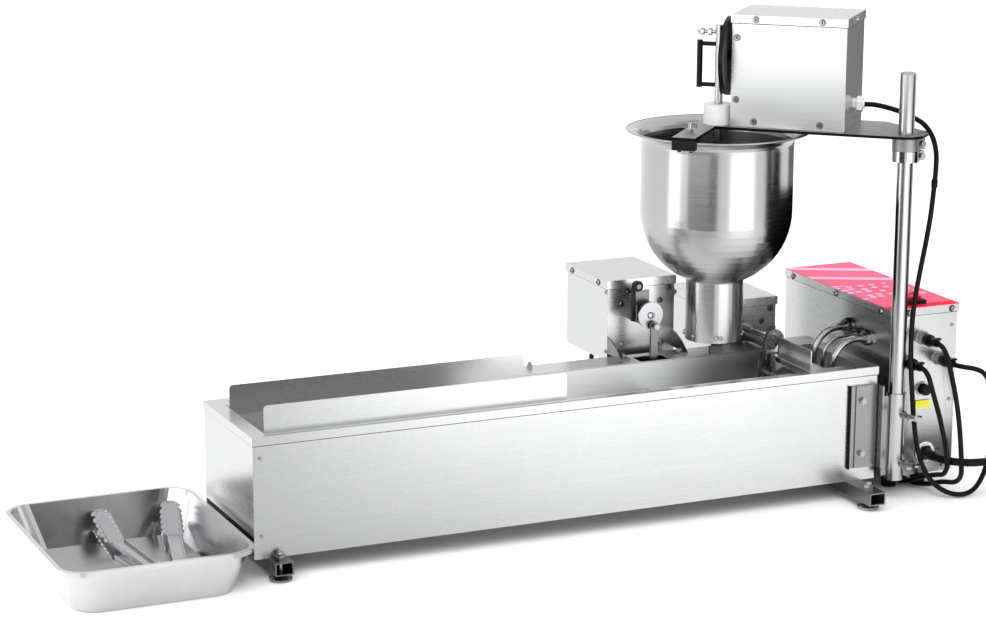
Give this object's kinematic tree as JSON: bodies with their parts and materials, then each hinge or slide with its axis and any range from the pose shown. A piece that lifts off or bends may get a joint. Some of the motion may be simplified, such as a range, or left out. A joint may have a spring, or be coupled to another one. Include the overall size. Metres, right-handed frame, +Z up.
{
  "type": "donut machine",
  "caption": "Stainless table-top donut machine with a swivelling dough hopper, motor boxes over a frying channel, a control box, a tray and tongs",
  "frame": {"origin": "middle of the floor area under the machine, tray and control box", "axes": "+X to the control box end, +Y to the back of the tank, +Z up"},
  "size_m": [1.52, 0.6208, 0.674],
  "materials": {
    "brushed_steel": "brushed 1.5 mm stainless sheet",
    "polished_steel": "polished stainless",
    "bright_hardware": "turned and plated hardware",
    "pan_steel": "dull stainless pan",
    "dark_steel": "grey satin steel",
    "pink_lid": "steel lid under a printed film",
    "black_plastic": "moulded, slightly grained",
    "black_rubber": "cord jacket and moulded feet",
    "red_rocker": "translucent moulded rocker",
    "white_nylon": "machined nylon",
    "motor_paint": "grey motor enamel"
  },
  "bodies": {
    "frame": {"front_panel": "brushed_steel", "back_panel": "brushed_steel", "end_panels": "brushed_steel", "top_deck": "brushed_steel", "oil_pan": "pan_steel", "leg_tubes": "dark_steel", "levelling_feet": "bright_hardware", "splash_guards": "polished_steel", "motor_cases": "brushed_steel", "motor_lids": "brushed_steel", "deck_gearmotors": "motor_paint", "brackets_and_bearings": "dark_steel", "control_case": "brushed_steel", "control_lid": "pink_lid", "switch_bezel": "black_plastic", "control_feet": "black_rubber", "panel_sockets": "bright_hardware", "plugs_and_glands": "black_plastic", "mains_gland": "white_nylon", "heater_tubes": "polished_steel", "pole_bracket": "dark_steel", "pole_sleeve": "polished_steel", "pole": "polished_steel", "case_screws": "bright_hardware", "tray": "polished_steel", "drive_chain": "dark_steel", "tongs_lower_arms": "polished_steel", "gearbox_cable_lower": "black_rubber", "motor_cable_left": "black_rubber", "motor_cable_right": "black_rubber", "mains_cord": "black_rubber", "mains_coil": "black_rubber", "mains_plug": "black_plastic"},
    "stop_collar": {"stop_collar": "bright_hardware"},
    "arm": {"arm_plate": "dark_steel", "gearbox_case": "brushed_steel", "gearbox_lid": "brushed_steel", "dispenser_gearmotor": "motor_paint", "hopper": "polished_steel", "guide_bush": "white_nylon", "rim_clamp": "black_plastic", "arm_screws": "bright_hardware", "gearbox_gland": "white_nylon", "gearbox_cable_upper": "black_rubber"},
    "dispenser_crank": {"dispenser_crank": "black_plastic"},
    "plunger": {"plunger": "polished_steel", "lift_handle": "black_plastic"},
    "wing_screw": {"wing_screw": "bright_hardware"},
    "flip_crank": {"flip_crank": "bright_hardware"},
    "flip_rod": {"flip_rod": "dark_steel"},
    "swing_lever": {"swing_lever": "black_plastic"},
    "flipper": {"flipper": "bright_hardware"},
    "paddle_shaft": {"paddle_shaft": "bright_hardware"},
    "paddle_wheel": {"paddle_wheel": "bright_hardware"},
    "thumb_screw_upper": {"thumb_screw_upper": "bright_hardware"},
    "thumb_screw_lower": {"thumb_screw_lower": "bright_hardware"},
    "switch_rocker": {"switch_rocker": "red_rocker"},
    "reset_button": {"reset_button": "black_plastic"},
    "tongs_front_arm": {"tongs_front_arm": "polished_steel"},
    "tongs_rear_arm": {"tongs_rear_arm": "polished_steel"}
  },
  "joints": [
    {"name": "collar_lift", "type": "slide", "parent": "frame", "child": "stop_collar", "axis": [0, 0, 1], "range_m": [0, 0.08]},
    {"name": "arm_swivel", "type": "hinge", "parent": "stop_collar", "child": "arm", "pos_m": [0.54956, -0.159, 0.505], "axis": [0, 0, 1], "range_deg": [0, 50]},
    {"name": "dispenser_crank_turn", "type": "hinge", "parent": "arm", "child": "dispenser_crank", "pos_m": [0.36672, 0.0115, 0.614], "axis": [-0.7314, 0.682, 0], "continuous": true},
    {"name": "plunger_lift", "type": "slide", "parent": "arm", "child": "plunger", "axis": [0, 0, 1], "range_m": [0, 0.045]},
    {"name": "wing_screw_turn", "type": "hinge", "parent": "arm", "child": "wing_screw", "pos_m": [0.28199, -0.03391, 0.518], "axis": [0, 0, 1], "continuous": true},
    {"name": "flip_crank_turn", "type": "hinge", "parent": "frame", "child": "flip_crank", "pos_m": [0.25626, 0.025, 0.251], "axis": [0, 1, 0], "continuous": true},
    {"name": "flip_rod_swing", "type": "hinge", "parent": "flip_crank", "child": "flip_rod", "pos_m": [0.25956, 0.019, 0.23678], "axis": [0, 1, 0], "continuous": true},
    {"name": "swing_lever_turn", "type": "hinge", "parent": "frame", "child": "swing_lever", "pos_m": [0.24126, 0.036, 0.292], "axis": [0, 1, 0], "range_deg": [-10, 15]},
    {"name": "flipper_turn", "type": "hinge", "parent": "frame", "child": "flipper", "pos_m": [0.24426, -0.062, 0.146], "axis": [0, 1, 0], "range_deg": [0, 150]},
    {"name": "paddle_shaft_turn", "type": "hinge", "parent": "frame", "child": "paddle_shaft", "pos_m": [0.42956, 0.015, 0.21], "axis": [0, 1, 0], "continuous": true},
    {"name": "paddle_wheel_turn", "type": "hinge", "parent": "frame", "child": "paddle_wheel", "pos_m": [0.42056, -0.075, 0.162], "axis": [0, 1, 0], "continuous": true},
    {"name": "thumb_screw_upper_turn", "type": "hinge", "parent": "frame", "child": "thumb_screw_upper", "pos_m": [0.55372, -0.17856, 0.124], "axis": [0.2079, -0.9781, 0], "continuous": true},
    {"name": "thumb_screw_lower_turn", "type": "hinge", "parent": "frame", "child": "thumb_screw_lower", "pos_m": [0.55372, -0.17856, 0.054], "axis": [0.2079, -0.9781, 0], "continuous": true},
    {"name": "switch_rock", "type": "hinge", "parent": "frame", "child": "switch_rocker", "pos_m": [0.59456, -0.117, 0.27], "axis": [1, 0, 0], "range_deg": [-24, 0]},
    {"name": "reset_press", "type": "slide", "parent": "frame", "child": "reset_button", "axis": [0, 1, 0], "range_m": [0, 0.003], "stiffness_N_per_m": 900},
    {"name": "tongs_front_squeeze", "type": "hinge", "parent": "frame", "child": "tongs_front_arm", "pos_m": [-0.50513, -0.11497, 0.0105], "axis": [-0.9877, -0.1564, 0], "range_deg": [0, 3.5], "stiffness_Nm_per_rad": 1.5},
    {"name": "tongs_rear_squeeze", "type": "hinge", "parent": "frame", "child": "tongs_rear_arm", "pos_m": [-0.47989, -0.11295, 0.0105], "axis": [-0.9744, 0.225, 0], "range_deg": [0, 3.5], "stiffness_Nm_per_rad": 1.5}
  ],
  "couplings": [
    {"joint": "flip_rod_swing", "follows": "flip_crank_turn", "ratio": -1},
    {"joint": "paddle_wheel_turn", "follows": "paddle_shaft_turn", "ratio": 1}
  ]
}
